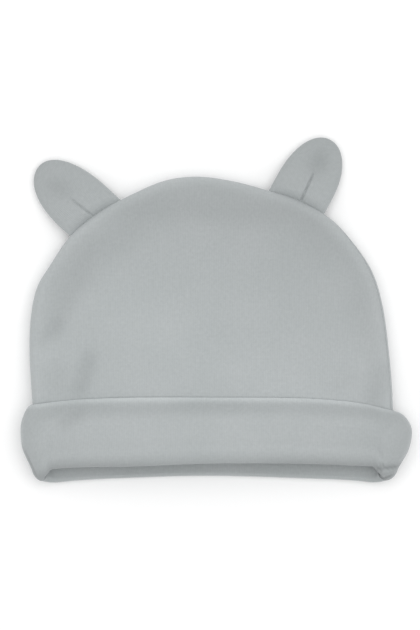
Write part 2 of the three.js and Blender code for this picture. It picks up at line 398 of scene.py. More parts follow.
def lengths_along(points, axis):
    """Distance run along one axis of a grid of points, starting at 0."""
    steps = np.linalg.norm(np.diff(points, axis=axis), axis=-1)
    start = np.zeros_like(np.take(steps, [0], axis=axis))
    return np.concatenate([start, np.cumsum(steps, axis=axis)], axis=axis)


# %% [markdown]
# ## Folds and swells
#
# Handled cloth keeps soft folds, and where it lies over air it swells unevenly. Both could be
# sculpted, but a table of long soft grooves is easy to read and to move, and slow noise gives the
# rest. Under the cuff, which presses on it, the crown is flatter. The cuff's hem asks for the same
# heights, so that it rests on the folded crown.

# %% Folds
# Centre in mm, heading in degrees from x, length and width in mm, rise in mm: below 0 is a groove.
FOLDS = [
    dict(at=(-67.5, 11.0), heading=68, length=24.0, width=9.0, rise=-1.6),
    dict(at=(-5.0, 46.0), heading=-3, length=46.0, width=7.0, rise=-0.9),
    dict(at=(-43.0, 35.0), heading=38, length=16.0, width=8.0, rise=-0.6),
    dict(at=(46.0, 32.0), heading=-44, length=12.0, width=8.0, rise=-0.5),
    dict(at=(-74.0, -33.0), heading=92, length=10.0, width=8.0, rise=-0.8),
    dict(at=(74.0, -36.0), heading=74, length=13.0, width=6.5, rise=-1.6),
    dict(at=(-77.0, -10.5), heading=48, length=8.0, width=3.2, rise=-1.0),
    dict(at=(-61.3, -30.5), heading=73, length=12.0, width=4.0, rise=-1.6),
    dict(at=(-61.0, -5.0), heading=62, length=12.0, width=7.0, rise=0.9),
    dict(at=(68.0, -6.0), heading=105, length=17.0, width=6.0, rise=-0.6),
    dict(at=(58.0, -34.0), heading=35, length=8.0, width=5.0, rise=-0.5),
]
SWELL = dict(height=2.2, across=30.0, layer=0.7)
PRESSED = dict(share=0.3, below=-48, above=-36)


def fold_relief(x, y, folds):
    """Height added by soft folds: long grooves and swells, each with a heading in degrees."""
    total = np.zeros_like(x)
    for fold in folds:
        c, s = math.cos(math.radians(fold["heading"])), math.sin(math.radians(fold["heading"]))
        dx, dy = x - fold["at"][0], y - fold["at"][1]
        along, across = (dx * c + dy * s) / fold["length"], (dy * c - dx * s) / fold["width"]
        total += fold["rise"] * np.exp(-(along**4) - across**2)
    return total


def slow_swell(x, y):
    """The slight unevenness of cloth that lies over air."""
    places = zip((x / SWELL["across"]).ravel(), (y / SWELL["across"]).ravel())
    height = [noise.noise(Vector((u, v, SWELL["layer"]))) for u, v in places]
    return SWELL["height"] * np.array(height).reshape(x.shape)


def crown_relief(x, y):
    """Height that folds and swells add to the crown's front; it lies flatter under the cuff."""
    free = mix(PRESSED["share"], 1, smooth(y, PRESSED["below"], PRESSED["above"]))
    return free * (fold_relief(x, y, FOLDS) + slow_swell(x, y))


print("folds:", len(FOLDS), "deepest, mm:", min(fold["rise"] for fold in FOLDS))

# %% [markdown]
# ## Front and back panels
#
# Each panel is one wall. Its section starts at the middle of the outer face, runs out to the seam,
# rolls over a small lip into the seam groove, goes a few millimetres inside as the seam allowance,
# and comes back along the inner face. Modelling the wall in one run keeps the seam closed and gives
# a true groove, where a plain Solidify would leave two butted edges.

# %% Places for the sections
LOWER_EDGE = -59.98
SIDE_ROWS, DOME_RAYS = 56, 150


def panel_rays():
    """Rays for a panel: rows up the left side, a fan over the dome, and rows down the right side."""
    heights = np.linspace(LOWER_EDGE, CENTRE_Y, SIDE_ROWS)
    sides = {side: (*edge_at(side, heights), heights) for side in ("left", "right")}
    upper = outline[outline[:, 1] > CENTRE_Y]
    run = np.append(0, np.cumsum(np.linalg.norm(np.diff(upper[:, :2], axis=0), axis=1)))
    places = np.linspace(0, run[-1], DOME_RAYS + 2)[1:-1]
    dome = [np.interp(places, run, upper[:, k]) for k in range(3)]
    left_x, left_beyond, left_y = sides["left"]
    right_x, right_beyond, right_y = (values[::-1] for values in sides["right"])
    return Rays(
        np.concatenate([left_x, dome[0], right_x])[:, None],
        np.concatenate([left_y, dome[1], right_y])[:, None],
        np.concatenate([left_beyond, dome[2], right_beyond])[:, None],
    )


print("sections in a panel:", panel_rays().x.shape[0])

# %% [markdown]
# ## One section of a panel
#
# The real panel is cloth cut to shape, and its edge turns inside at the seam. Here one row of
# points describes the wall on one ray, out to the seam and back. The rows are more crowded near
# the edge, where the wall turns most, so that fewer are needed in the middle.

# %% One section
LIP, GROOVE_GAP = 0.42, 0.05
ALLOWANCE = dict(depth=3.6, thickness=1.0)
INNER_START = math.radians(25)  # how far round the edge the inner face starts
ROUND_POINTS, LIP_POINTS, RUN_POINTS = 12, 6, 62
EDGE_CROWDING = 1.15  # above 1, the points of the run sit closer together near the edge


def panel_section(rays, face):
    """The panel's points, one row for each ray: outer middle, seam groove, inner middle."""
    sign = 1 if face == "front" else -1
    surface = front_surface if face == "front" else back_surface
    seam_turn = np.arccos(1 - rays.beyond / FRONT_ROUND)
    top = sign * math.pi / 2
    lip_turn = seam_turn + sign * LIP / FRONT_ROUND
    share = np.linspace(1, 0, ROUND_POINTS)
    run = np.linspace(1, 0, RUN_POINTS + 1)[:-1] ** EDGE_CROWDING
    outer_run = surface(rays, top, run, 0)
    outer_round = surface(rays, mix(lip_turn, top, share), 0, 0)
    out, up = np.cos(seam_turn), np.sin(seam_turn)

    def from_seam(depth, over):
        """A point depth into the groove and over to this panel's side of it."""
        outward = -rays.beyond - depth * out - sign * over * up
        return rays.at(outward, rays.seam + FRONT_ROUND * up - depth * up + sign * over * out)

    angle = np.linspace(0, math.pi / 2, LIP_POINTS + 1)[1:]
    lip_radius = LIP - GROOVE_GAP / 2
    lip = from_seam(LIP - LIP * np.cos(angle), GROOVE_GAP / 2 + lip_radius * (1 - np.sin(angle)))
    tip = from_seam(ALLOWANCE["depth"], GROOVE_GAP / 2)
    inner_turn = seam_turn + sign * INNER_START
    inner_round = surface(rays, mix(inner_turn, top, share[::-1]), 0, -WALL)
    inner_run = surface(rays, top, run[::-1], -WALL)
    tip_back = from_seam(ALLOWANCE["depth"], ALLOWANCE["thickness"])
    fill = np.linspace(0, 1, LIP_POINTS + 1)[:-1][:, None]
    inside = mix(tip_back, inner_round[:, :1], fill)
    return np.concatenate([outer_run, outer_round, lip, tip, inside, inner_round, inner_run], 1)


# %% [markdown]
# ## The panels' meshes and their painted light and shade
#
# Folds and swells are added to the front once its section is laid, away from the seam, which is too
# stiff to follow them. Two numbers go with every point for the colour: ridge, a highlight painted paler
# beside the seam and much stronger over the dome, and hollow, shade painted darker in the front's
# folds. Painting them by hand would work too, but here they come from the same sizes as the shape.

# %% Panels
FOLDS_FROM_SEAM = dict(none=2, full=9)
DEEP_FOLD = 1.6
PALE = dict(at=1.5, over=3.8, sides=0.4, dome=2, dome_from=0, dome_to=45)


def panel_faces(count, width):
    """Quads over the grid, and strips that close its two lower ends."""
    faces, half = grid_faces(count, width), width // 2
    for first in (0, (count - 1) * width):
        for j in range(half - 1):
            faces.append([first + j, first + j + 1, first + width - 2 - j, first + width - 1 - j])
        faces.append([first + half - 1, first + half, first + half + 1])
    return faces


def make_panel(name, face):
    """One panel. Its UV map is the true distance from the hat's centre line, along each ray."""
    rays = panel_rays()
    points = panel_section(rays, face)
    count, width = points.shape[:2]
    half = width // 2
    run = lengths_along(points, 1)
    run = np.minimum(run, run[:, -1:] - run)
    reach = run[:, half : half + 1] - run
    x, y = points[..., 0], points[..., 1]
    hollow = np.zeros((count, width))
    if face == "front":
        none, full = (ALLOWANCE["depth"] + FOLDS_FROM_SEAM[key] for key in ("none", "full"))
        points[..., 2] += smooth(reach, none, full) * crown_relief(x, y)
        # Painted shade: the front is darker in its folds.
        hollow = np.clip(-fold_relief(x, y, FOLDS), 0, DEEP_FOLD) / DEEP_FOLD
    core = np.stack([np.full_like(rays.y, CENTRE_X), np.minimum(rays.y, CENTRE_Y)], -1)
    out = np.stack([rays.out_x, rays.out_y], -1)
    uv = (core + out * run[..., None]).reshape(-1, 2)
    # Painted highlight: paler beside the seam, much more over the dome.
    ridge = np.exp(-(((reach - PALE["at"]) / PALE["over"]) ** 2))
    ridge = ridge * mix(PALE["sides"], PALE["dome"], smooth(y, PALE["dome_from"], PALE["dome_to"]))
    faces = panel_faces(count, width)
    return cloth_object(name, points.reshape(-1, 3), faces, uv, ridge.ravel(), hollow.ravel())


front_panel = make_panel("front_panel", "front")
back_panel = make_panel("back_panel", "back")

# %% [markdown]
# ## The turned-up cuff
#
# The brim is folded up once, outwards. Its outer leg stands off the crown, fullest a third of the
# way down, and turns round a soft roll at the mouth into a short inner leg. It is a loop: one
# section carried round the mouth, over the front and back underneath, where the surface flattens it.
# A bevelled curve could make such a roll, but not one whose height and fullness change all round.

# %% Cuff lines
# y of its upper edge, of the bottom fold in front and of the bottom fold at the back, across the hat.
CUFF_LINES = [
    dict(x=-84, hem=-43.8, front=-73.4, back=-80.2),
    dict(x=-66, hem=-41.6, front=-71.9, back=-78.5),
    dict(x=-40, hem=-40.3, front=-71.4, back=-77.3),
    dict(x=-4, hem=-40.2, front=-70.0, back=-76.4),
    dict(x=43, hem=-40.8, front=-70.2, back=-77.6),
    dict(x=66, hem=-43.0, front=-71.2, back=-78.6),
    dict(x=82, hem=-46.8, front=-72.0, back=-80.4),
]
CUFF_SPAN_STEPS = 30

rows = [[row["x"], row["hem"], row["front"], row["back"]] for row in CUFF_LINES]
cuff_lines = spline(rows, CUFF_SPAN_STEPS)
print("cuff's height in front, mm:", (cuff_lines[:, 1] - cuff_lines[:, 2]).mean().round(1))

# %% [markdown]
# ## Round the loop
#
# The real cuff is a tube, so its section is repeated at places all round the mouth: across the
# front, round the end, across the back and round the other end. Each place is told by its side,
# its face, how far it has turned round the edge and how far it has run in to the middle.

# %% Places round the cuff
COLUMN_ROUND, COLUMN_RUN = 22, 64


def cuff_columns():
    """Places round the cuff: side, face, how far the edge has turned and how far it has run in."""
    quarter = math.pi / 2
    turn = np.concatenate([np.linspace(0, quarter, COLUMN_ROUND + 1), np.full(COLUMN_RUN, quarter)])
    run = np.concatenate([np.zeros(COLUMN_ROUND + 1), np.linspace(0, 1, COLUMN_RUN + 1)[1:]])
    there, back = slice(0, -1), slice(None, 0, -1)
    order = [
        ("left", "front", there), ("right", "front", back),
        ("right", "back", there), ("left", "back", back),
    ]
    return [(side, face, t, r) for side, face, part in order for t, r in zip(turn[part], run[part])]


print("sections in the cuff:", len(cuff_columns()))

# %% [markdown]
# ## How the cuff stands off and turns
#
# At its hem the cuff is pressed thin against the crown. Below that it lifts, most at the sides,
# where the loop turns, and it is tucked in again before the roll. At the two ends of the mouth the
# bottom fold is drawn up a little and set in. Each of these is a distance outwards from the crown's
# own surface, so the cuff follows the crown wherever that goes.

# %% Turn and stand-off
JOIN_Y = -60.02
END_FOLD = dict(left=-78.5, right=-78.3, front_reach=dict(left=6.5, right=8.5), back_reach=3.5)
END_INSET = dict(left=1.8, right=3.0)
ROLL = dict(front=8.5, back=1.9)
SPREAD = dict(front=4.2, front_by=0.55, back=2.4)
PUFF = dict(front=2.8, left=3.0, right=5.8, skew=0.56, front_skew=0.9)
TUCK = dict(left=1.7, right=0.8, from_share=0.6)
STAND_OFF = WALL + 0.3
HEM = dict(wall=0.9, stand_off=1.0, over=0.35)
INWARD = dict(turn=0.4, run=0.6, full=0.6)  # how the sides' form gives way to the middle's


def cuff_turn(side, face, turn, run, x):
    """At one place: y of the hem, y where the leg ends, the roll's depth and how far it is set in."""
    ray = Rays(edge_at(side, np.array([JOIN_Y]))[0], JOIN_Y, 0.0)
    hem, front, back = (np.interp(x, cuff_lines[:, 0], cuff_lines[:, k]) for k in (1, 2, 3))
    inward = FRONT_ROUND * (1 - math.cos(turn)) + run * ray.length[0]
    turned = min(inward / END_FOLD["front_reach"][side], 1)
    if face == "back":
        turned = math.sin(min(inward / END_FOLD["back_reach"], 1) * math.pi / 2)
    fold = mix(END_FOLD[side], front if face == "front" else back, turned)
    depth = mix((ROLL["front"] + ROLL["back"]) / 2, ROLL[face], turned)
    return hem, fold + depth, depth, END_INSET[side] * (1 - turned)


def cuff_stand_off(side, face, turn, run, y, down):
    """How far the leg stands off the crown, and its wall; down is 0 at the hem and 1 at its end."""
    from_hem = smooth(down, 0, HEM["over"])
    stand_off, wall = mix(HEM["stand_off"], STAND_OFF, from_hem), mix(HEM["wall"], WALL, from_hem)
    spread = stand_off + SPREAD["back"] * smooth(down, 0, 1)
    hump = PUFF[side] * np.sin(math.pi * down ** PUFF["skew"])
    at_side = spread + hump - TUCK[side] * smooth(down, TUCK["from_share"], 1)
    at_middle = ride_at(y)
    if face == "front":
        rise = PUFF["front"] * np.sin(math.pi * down ** PUFF["front_skew"])
        at_middle = stand_off + SPREAD["front"] * smooth(down, 0, SPREAD["front_by"]) + rise
    inward = turn / (math.pi / 2) * INWARD["turn"] + run * INWARD["run"]
    return mix(at_side, at_middle, smooth(inward, 0, INWARD["full"])), wall


middle_off, _ = cuff_stand_off("left", "front", math.pi / 2, 1.0, 0.0, np.array([0.0, 0.5, 1.0]))
print("stand-off in front, hem, half-way and fold, mm:", middle_off.round(1))

# %% [markdown]
# ## One section of the cuff
#
# The section starts at the hem, goes down the outer leg, round the roll and up the inner leg, and
# comes back along the inside of the wall. Cloth that would go through the surface is laid on it.
# One run of points, as in the panels, leaves no edges to sew.

# %% One section of the cuff
HEM_POINTS, LEG_POINTS, FOLD_POINTS, INNER_POINTS = 8, 34, 18, 10
HEM_CROWDING = 1.6  # above 1, the points of the leg sit closer together near the hem
THINNEST_TURN = 0.4


def cuff_section(side, face, turn, run):
    """The cuff's section at one place, in mm: round the hem, down, round the roll, up and back."""
    surface = front_surface if face == "front" else back_surface
    sign = 1 if face == "front" else -1

    def at(y, grow, floor):
        """Points at y, grown out from the crown's face, and never lower than floor."""
        x, _ = edge_at(side, y)
        points = surface(Rays(x, y, 0.0), sign * turn, run, grow)
        points[..., 2] = np.maximum(points[..., 2], floor)
        return points

    place = at(np.array([JOIN_Y]), 0, 0)[0, 0]
    hem, turn_y, depth, inset = cuff_turn(side, face, turn, run, place)
    y = mix(hem, turn_y, np.linspace(0, 1, LEG_POINTS) ** HEM_CROWDING)
    off, wall = cuff_stand_off(side, face, turn, run, y, (hem - y) / (hem - turn_y))
    middle = (off[-1] - WALL - inset) / 2
    arc = np.linspace(0, math.pi, FOLD_POINTS)

    def fold_arc(radius, reach, floor):
        """Half a turn round the roll, from the outer leg to the inner leg."""
        return at(turn_y - reach * np.sin(arc), middle + radius * np.cos(arc), floor)

    rim, half_hem = np.linspace(math.pi, 0, HEM_POINTS), HEM["wall"] / 2
    rim_x, rim_y = half_hem * np.cos(rim), half_hem * np.sin(rim)
    inner_y = np.linspace(turn_y, JOIN_Y, INNER_POINTS)[1:]
    drawn_in = inset * (1 - smooth(inner_y, turn_y, JOIN_Y))
    parts = [
        at(hem + rim_y, off[0] - half_hem + rim_x, half_hem - rim_x),
        at(y[1:-1], off[1:-1], 0),
        fold_arc((off[-1] + WALL + inset) / 2, depth, 0),
        at(inner_y, -WALL - drawn_in, WALL),
        at(inner_y[::-1], -drawn_in[::-1], WALL),
        fold_arc((off[-1] - WALL + inset) / 2, max(depth - WALL, THINNEST_TURN), WALL)[::-1],
        at(y[1:-1][::-1], (off - wall)[1:-1][::-1], wall[1:-1][::-1]),
    ]
    return np.concatenate(parts)


print("points in a section:", len(cuff_section("left", "front", 0.0, 0.0)))

# %% [markdown]
# ## The cuff's own folds
#
# At the ends of the mouth the turned cloth has too little room, and short creases run in from the
# corners. They are a table again. Along the hem the cuff takes the crown's heights in place of its
# own, because it rests there, and the change fades out round the roll so that no step is left.

# %% Folds of the cuff
CORNER_FOLDS = [
    dict(at=(78.5, -71.9), heading=4, length=6.0, width=1.0, rise=-1.7),
    dict(at=(85.2, -69.6), heading=42, length=3.5, width=1.0, rise=-1.4),
    dict(at=(80.5, -74.2), heading=12, length=5.0, width=1.0, rise=0.9),
    dict(at=(79.5, -75.6), heading=24, length=5.0, width=0.7, rise=-1.2),
    dict(at=(-85.0, -70.0), heading=-66, length=7.5, width=0.8, rise=-1.5),
    dict(at=(-66.0, -49.5), heading=32, length=7.0, width=3.5, rise=-0.6),
]
OUTER_POINTS = HEM_POINTS + LEG_POINTS + FOLD_POINTS - 2
FOLD_POINT = HEM_POINTS + LEG_POINTS + FOLD_POINTS // 2 - 2
HEM_REST = dict(width=4.5, left=-84.8, right=80.9, none=5, full=12, above=8)
CUFF_SWELL = dict(share=0.5, shift=40)
RESTS_ON_FLOOR = dict(below=4, above=12)


def cuff_relief(outer, from_hem):
    """Height to add to the cuff's outer face, and the part of it that is corner creases."""
    x, y, z = np.moveaxis(outer, -1, 0)
    held = 1 - smooth(np.arange(OUTER_POINTS) - FOLD_POINT, 0, FOLD_POINTS // 2 - 1)
    from_ends = np.minimum(x - HEM_REST["left"], HEM_REST["right"] - x)
    rests = smooth(from_ends, HEM_REST["none"], HEM_REST["full"])
    on_crown = np.exp(-((from_hem / HEM_REST["width"]) ** 2)) * rests * (z > HEM_REST["above"])
    corners = fold_relief(x, y, CORNER_FOLDS)
    own = corners + CUFF_SWELL["share"] * slow_swell(x + CUFF_SWELL["shift"], y)
    own = own * smooth(z, RESTS_ON_FLOOR["below"], RESTS_ON_FLOOR["above"])
    return held * mix(own, crown_relief(x, y), on_crown), corners


print("creases in the corners:", len(CORNER_FOLDS))

# %% [markdown]
# ## The cuff's painted light and shade
#
# The thin hem and the edge that shows through the mouth are painted paler, as painted highlight. The
# leg is painted darker wherever it is not full, the roll darker as it turns away, most towards its
# ends, and so are the creases: painted shade. The real cloth is probably dyed evenly: this is light and
# shade painted into the colour, to deepen what the lights do. A lamp from one side could do it without
# paint, but would shade the paper as well.

# %% Paler and darker parts
CUFF_PALE = dict(hem=2.4, hem_width=2.0, inside=0.8, inside_at=7, inside_width=3, inside_below=8)
LEG_SHADE = dict(resting=0.7, full_x=-10.0, full_across=75, full_at=20.0, full_along=8.5)
ROLL_SHADE = dict(middle=1.3, starts=-9.0, above=10, sides=0.8, centre_x=-5, sides_from=15, sides_to=45)
END_SHADE = dict(right=0.5, right_from=55, right_to=88, creases=1.3, deepest=1.5)


def cuff_painted_light(points, down, corners):
    """How much painted highlight and painted shade each point of the cuff gets."""
    x, _, z = np.moveaxis(points, -1, 0)
    reach = down - down[:, HEM_POINTS - 1 : HEM_POINTS]
    past_fold = down - down[:, FOLD_POINT : FOLD_POINT + 1]
    # Painted highlight: the hem and the strip inside the mouth are paler.
    inner = np.exp(-(((past_fold - CUFF_PALE["inside_at"]) / CUFF_PALE["inside_width"]) ** 2))
    inner = (points[:, FOLD_POINT, 2] < CUFF_PALE["inside_below"])[:, None] * inner
    hem = np.exp(-((reach / CUFF_PALE["hem_width"]) ** 2))
    ridge = CUFF_PALE["hem"] * hem + CUFF_PALE["inside"] * inner
    # Painted shade: the leg, the roll, the right end and the creases are darker.
    full_x = (x - LEG_SHADE["full_x"]) / LEG_SHADE["full_across"]
    full_down = (reach - LEG_SHADE["full_at"]) / LEG_SHADE["full_along"]
    leg = LEG_SHADE["resting"] * (1 - np.exp(-(full_x**2) - full_down**2))
    rolling = smooth(past_fold, ROLL_SHADE["starts"], 0) * (z > ROLL_SHADE["above"])
    sides = smooth(abs(x - ROLL_SHADE["centre_x"]), ROLL_SHADE["sides_from"], ROLL_SHADE["sides_to"])
    hollow = leg + (ROLL_SHADE["middle"] + ROLL_SHADE["sides"] * sides) * rolling
    hollow = hollow + END_SHADE["right"] * smooth(x, END_SHADE["right_from"], END_SHADE["right_to"])
    hollow[:, :OUTER_POINTS] += END_SHADE["creases"] * np.clip(-corners, 0, END_SHADE["deepest"])
    return ridge, hollow


# %% [markdown]
# ## Put the cuff together
#
# The sections are stacked into a grid that closes on itself both ways, like a ring. Lengths of
# cloth are measured before the folds are added, so that the knit is even over them.

# %% Make the cuff


def cuff_faces(count, width):
    """Quads over the loop, and a strip that joins each section's last point to its first."""
    faces = grid_faces(count, width, close_rows=True)
    for i in range(count):
        here, after = i * width, (i + 1) % count * width
        faces.append([here + width - 1, after + width - 1, after, here])
    return faces


def make_cuff():
    """The cuff as a loop. Its UV map runs round the mouth, and down from the hem over the section."""
    points = np.stack([cuff_section(*column) for column in cuff_columns()])
    girth = lengths_along(points[:, HEM_POINTS + LEG_POINTS // 2], 0)
    down = lengths_along(points, 1)
    uv = np.stack([np.broadcast_to(girth[:, None], down.shape), -down], -1).reshape(-1, 2)
    outer = points[:, :OUTER_POINTS]
    relief, corners = cuff_relief(outer, down[:, :OUTER_POINTS])
    outer[..., 2] += relief
    ridge, hollow = cuff_painted_light(points, down, corners)
    faces = cuff_faces(*down.shape)
    return cloth_object("rolled_cuff", points.reshape(-1, 3), faces, uv, ridge.ravel(), hollow.ravel())


rolled_cuff = make_cuff()

# %% [markdown]
# ## Ears
#
# An ear is two plies sewn along its outline, turned right side out and lightly padded. A pleat at
# its base cups it: the cloth dips into a narrow crease there, with a soft hollow past its end. Two
# flat plies could be blown up by simulation, but the pads are thin and their outline matters most,
# so each is a stack of rings from base to tip, wide as the outline and thick as the padding.

# %% Ear sizes
# In mm; turn is where the ear points, in degrees from x.
EARS = [
    dict(name="ear_left", x=-56.2, y=42.8, turn=137.1, length=35.0, width=28.0, pleat="left"),
    dict(name="ear_right", x=37.0, y=50.0, turn=61.5, length=32.6, width=27.5, pleat="right"),
]
EAR_SHOULDER, EAR_CORNER = 8.0, 2.25
EAR_AROUND, EAR_STEPS = 256, 90
EAR_RING_SPREAD = 0.6  # 0: rings evenly spaced, 1: crowded at base and tip as on a ball


def seam_from_ear(ear):
    """The outline as an ear sees it, sorted from right to left: how far across, how far along."""
    angle = math.radians(ear["turn"])
    c, s = math.cos(angle), math.sin(angle)
    dx, dy = outline[:, 0] - ear["x"], outline[:, 1] - ear["y"]
    along, across = dx * c + dy * s, dy * c - dx * s
    near = along > -ear["length"]
    order = np.argsort(across[near])
    return across[near][order], along[near][order]


def ear_plan(ear):
    """The rings seen from above: station 0 to 1, angle round the ring, across, along, and the root."""
    station = (1 - np.cos(np.linspace(0, math.pi, EAR_STEPS))) / 2
    station = mix(np.linspace(0, 1, EAR_STEPS), station, EAR_RING_SPREAD)[:, None]
    angle = np.linspace(0, 2 * math.pi, EAR_AROUND, endpoint=False)[None, :]
    along = station * ear["length"]
    closing = np.clip((along - EAR_SHOULDER) / (ear["length"] - EAR_SHOULDER), 0, 1)
    half_width = ear["width"] / 2 * np.sqrt(1 - closing**EAR_CORNER)
    across = half_width * np.cos(angle)
    root = np.interp(across, *seam_from_ear(ear)) - EAR_ROOT["depth"]
    return station, angle, across, mix(root, ear["length"], station), root


# %% [markdown]
# ## Padding and pleats
#
# A real ear is thickest in its middle and thin where it is caught in the seam. Its thickness is a
# function of the way from base to tip. The pleat is a narrow dip in the upper ply that closes
# towards the tip, which is simpler and cleaner than folding cloth over itself.

# %% Padding and pleats
EAR_ROOT = dict(depth=0.7, half=0.45, opens_over=5.0)
EAR_PAD = dict(base=2.9, middle=3.9, full_at=0.5, tip_rounding=4)
EAR_DROOP = dict(base=7.8, tip=3.8, down_at=0.85)
PLEATS = dict(
    left=dict(depth=1.1, length=16.5, offset=0.0, lean=0.085, hollow=0.9, hollow_past=4.5),
    right=dict(depth=1.5, length=18.5, offset=-1.5, lean=0.066, hollow=1.25, hollow_past=2.0),
)
CREASE = dict(half_width=0.38, sharpness=1.3, opens_over=2.0, fades_from=0.6, upper=0.5)
PAST_CREASE = dict(width=5.0, length=6.5)
ABOVE_FLOOR = 0.05


def ear_padding(station, from_root):
    """Half the ear's thickness at its middle line, thin where it is caught in the seam."""
    filled = mix(EAR_PAD["base"], EAR_PAD["middle"], smooth(station, 0, EAR_PAD["full_at"]))
    pad = filled * np.sqrt(1 - station ** EAR_PAD["tip_rounding"])
    return mix(EAR_ROOT["half"], pad, np.sqrt(smooth(from_root, 0, EAR_ROOT["opens_over"])))


def ear_pleat(pleat, across, from_root, angle):
    """Depth of the pleat's crease, and of the soft hollow past its end, on the upper ply."""
    fade = smooth(from_root, pleat["length"] * CREASE["fades_from"], pleat["length"])
    reach = (1 - fade) * smooth(from_root, 0, CREASE["opens_over"])
    beside = across - pleat["offset"] - pleat["lean"] * from_root
    upper = np.clip(np.sin(angle), 0, 1) ** CREASE["upper"]
    narrow = np.exp(-np.abs(beside / CREASE["half_width"]) ** CREASE["sharpness"])
    crease = pleat["depth"] * narrow * reach
    past = (from_root - pleat["length"] - pleat["hollow_past"]) / PAST_CREASE["length"]
    hollow = np.exp(-((beside / PAST_CREASE["width"]) ** 2) - past**2) * upper
    return crease * upper, pleat["hollow"] * hollow


print("ear thickness at the middle, mm:", 2 * EAR_PAD["middle"])

# %% [markdown]
# ## Put the ears together
#
# The rings are turned to where the ear points and moved to its place on the seam. The base
# follows the outline of the crown, so no gap is left, and it is closed by a strip of faces.

# %% Make the ears
RIM_PALE = 0.25  # the sine of the angle from the rim at which the paler edge has faded


def ear_faces(count, width):
    """Quads between the rings, and a strip of quads and two triangles that close the base."""
    rings = np.arange(count * width).reshape(count, width)
    around = np.concatenate([rings, rings[:, :1]], 1)
    quads = np.stack([around[:-1, :-1], around[1:, :-1], around[1:, 1:], around[:-1, 1:]], -1)
    faces = quads.reshape(-1, 4).tolist()
    faces += [[j, j + 1, width - j - 1, width - j] for j in range(1, width // 2 - 1)]
    return faces + [[0, 1, width - 1], [width // 2 - 1, width // 2, width // 2 + 1]]


def make_ear(ear):
    """One ear as a closed pad. Its UV map runs round the rings and from base to tip."""
    station, angle, across, along, root = ear_plan(ear)
    from_root = along - root
    pad = ear_padding(station, from_root)
    crease, hollow = ear_pleat(PLEATS[ear["pleat"]], across, from_root, angle)
    droop = mix(EAR_DROOP["base"], EAR_DROOP["tip"], smooth(station, 0, EAR_DROOP["down_at"]))
    z = np.maximum(droop + pad * np.sin(angle) - crease - hollow, ABOVE_FLOOR)
    c, s = math.cos(math.radians(ear["turn"])), math.sin(math.radians(ear["turn"]))
    x, y = ear["x"] + along * c - across * s, ear["y"] + along * s + across * c
    points = np.stack([x, y, z], -1)
    rim = lengths_along(np.concatenate([points, points[:, :1]], 1), 1)[:, :-1]
    uv = np.stack([rim, along], -1).reshape(-1, 2)
    # Painted highlight on the rim; the soft hollow past the pleat is also painted darker, as painted
    # shade.
    ridge = np.exp(-((np.sin(angle) / RIM_PALE) ** 2)) * np.ones_like(along)
    faces, name = ear_faces(*along.shape), ear["name"] + "_pad"
    return cloth_object(name, points.reshape(-1, 3), faces, uv, ridge.ravel(), hollow.ravel())


ear_pads = {ear["name"]: make_ear(ear) for ear in EARS}

# %% [markdown]
# ## A short way to write node trees
#
# A material or a Geometry Nodes tree is a sum written with boxes and wires. Made by hand it is
# easy to look at but hard to repeat. The helper below adds a node and fills its inputs, with a
# value or with a wire from another node, so that a tree reads line by line like a recipe.

# %% Node helpers


def node_maker(tree):
    """A function that adds a node to the tree and sets or links its inputs."""

    def node(kind, inputs=(), **settings):
        made = tree.nodes.new(kind)
        for key, value in settings.items():
            setattr(made, key, value)
        for key, value in dict(inputs).items():
            if isinstance(value, bpy.types.NodeSocket):
                tree.links.new(value, made.inputs[key])
            else:
                made.inputs[key].default_value = value
        return made

    return node


def maths_maker(node):
    """A function that adds a sum of values or wires, and gives back its result."""

    def maths(operation, *values):
        return node("ShaderNodeMath", dict(enumerate(values)), operation=operation).outputs[0]

    return maths


def noise_fac(node, vector, sizes):
    """Noise on a wire of coordinates, from 0 to 1; sizes is a table of the noise's inputs."""
    return node("ShaderNodeTexNoise", {"Vector": vector, **sizes}).outputs["Fac"]


# %% [markdown]
# ## Cotton interlock: the knit
#
# Interlock is knitted so finely that it looks plain from a step away. Close up it has narrow upright
# wales about 0.8 mm apart, each a column of small V-shaped stitches, under a short brushed nap.
# Modelling each stitch would take millions of faces, so they are bump that follows the cloth's own
# UV map, and the nap is finer bump on top.

# %% Knit
WALE = 0.8 * MM
COURSE = 0.62 * MM
KNIT = dict(v_slant=2.2, stitch=0.35)
KNIT_BUMP = {"Strength": 0.3, "Distance": 0.14 * MM}
NAP = {"Scale": 1900.0, "Detail": 3.0}
NAP_BUMP = {"Strength": 0.35, "Distance": 0.2 * MM}


def knit_height(node, cloth):
    """Height of the knit: upright ribs, crossed by stitches that slant away from each rib."""
    maths = maths_maker(node)
    split = node("ShaderNodeSeparateXYZ", {0: cloth})
    wale = maths("MULTIPLY", split.outputs["X"], 2 * math.pi / WALE)
    rib = maths("ABSOLUTE", maths("SINE", maths("MULTIPLY", wale, 0.5)))
    course = maths("MULTIPLY", split.outputs["Y"], 2 * math.pi / COURSE)
    stitch = maths("SINE", maths("ADD", course, maths("MULTIPLY", rib, KNIT["v_slant"])))
    return maths("ADD", rib, maths("MULTIPLY", stitch, KNIT["stitch"]))


def knit_normal(node, cloth, knit):
    """The bump of the stitches with the bump of the nap on top."""
    nap = noise_fac(node, cloth, NAP)
    below = node("ShaderNodeBump", {"Height": knit, **KNIT_BUMP}).outputs[0]
    return node("ShaderNodeBump", {"Height": nap, "Normal": below, **NAP_BUMP}).outputs[0]


print("wales and courses in 10 mm:", round(10 * MM / WALE, 1), round(10 * MM / COURSE, 1))

# %% [markdown]
# ## Cotton interlock: the dye, and painted light and shade
#
# Dyed cotton is never quite even. Slow noise makes soft patches, fine noise makes a mottle, and the
# knit shows as a faint stripe. Each is a factor near 1, and the colour is multiplied by all of them.
# Seam ridges, the ears' rims and the cuff's hem are painted a touch paler and hollows darker, by the
# two numbers that each point carries. The colour also gets darker towards the dome. That, the paler
# ridges and the hollows are light and shade painted into the colour, as the real dye is probably the
# same all over.

